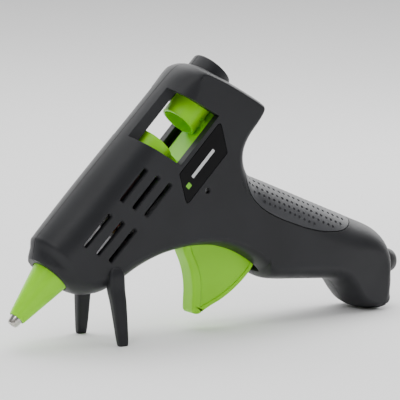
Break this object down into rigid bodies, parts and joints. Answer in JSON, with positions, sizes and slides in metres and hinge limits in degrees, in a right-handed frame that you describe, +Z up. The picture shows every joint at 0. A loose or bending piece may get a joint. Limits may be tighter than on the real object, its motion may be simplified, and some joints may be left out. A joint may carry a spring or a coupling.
{
  "type": "hot glue gun",
  "caption": "Mini hot glue gun with a pitched barrel, side windows over the stick carriage, a sector trigger, a dimpled soft grip and moulded legs that stand it nose down.",
  "frame": {"origin": "bottom centre of the bounding box, on the bench between the leg tips and the handle's foot", "axes": "+X along the bench from the nozzle to the cord gland, +Y across to the right casing, +Z up"},
  "size_m": [0.2012, 0.0374, 0.1198],
  "materials": {
    "charcoal_plastic": "fine moulded texture, satin",
    "green_plastic": "semi-gloss lime green",
    "soft_grip": "soft matt over-moulding with rows of dimples",
    "label_black": "glossy black plate",
    "steel": "plain zinc-plated steel",
    "plated_brass": "bright nickel plate",
    "aluminium": "as cast",
    "brass": "stamped strip",
    "ceramic": "sintered ceramic tablet",
    "mica": "pressed mica board",
    "silicone": "moulded silicone",
    "gland_rubber": "matt black rubber",
    "lead_red": "glass-fibre sleeved lead",
    "lead_white": "glass-fibre sleeved lead"
  },
  "bodies": {
    "body": {"left_casing": "charcoal_plastic", "right_casing": "charcoal_plastic", "grip_pad": "soft_grip", "nozzle": "plated_brass", "nozzle_sleeve": "green_plastic", "melt_chamber": "aluminium", "contact_upper": "brass", "heating_tablet": "ceramic", "contact_lower": "brass", "mica_sheet": "mica", "heater_clip": "steel", "front_support": "mica", "rear_support": "mica", "feed_sleeve": "silicone", "sleeve_clamp": "steel", "trigger_pin": "steel", "return_spring": "steel", "screw_tail": "steel", "screw_barrel_top": "steel", "screw_belly": "steel", "screw_grip": "steel", "screw_foot": "steel", "label_left": "label_black", "label_right": "label_black", "cord_gland": "gland_rubber", "lead_live": "lead_red", "crimp_live": "brass", "lead_neutral": "lead_white", "crimp_neutral": "brass"},
    "trigger": {"trigger": "green_plastic"},
    "carriage": {"stick_carriage": "green_plastic", "gripper_pin": "steel"},
    "gripper": {"stick_gripper": "green_plastic"}
  },
  "joints": [
    {"name": "trigger_pull", "type": "hinge", "parent": "body", "child": "trigger", "pos_m": [-0.00993, 0, 0.06233], "axis": [0, -1, 0], "range_deg": [0, 16], "stiffness_Nm_per_rad": 0.12, "springref_deg": -20.05},
    {"name": "carriage_feed", "type": "slide", "parent": "body", "child": "carriage", "axis": [-0.704, 0, -0.7102], "range_m": [0, 0.0055]},
    {"name": "gripper_tilt", "type": "hinge", "parent": "carriage", "child": "gripper", "pos_m": [-0.0085, 0, 0.09232], "axis": [0, 1, 0], "range_deg": [0, 9]}
  ],
  "couplings": [
    {"joint": "carriage_feed", "follows": "trigger_pull", "m_per_rad": 0.0174},
    {"joint": "gripper_tilt", "follows": "trigger_pull", "ratio": 0.5}
  ]
}
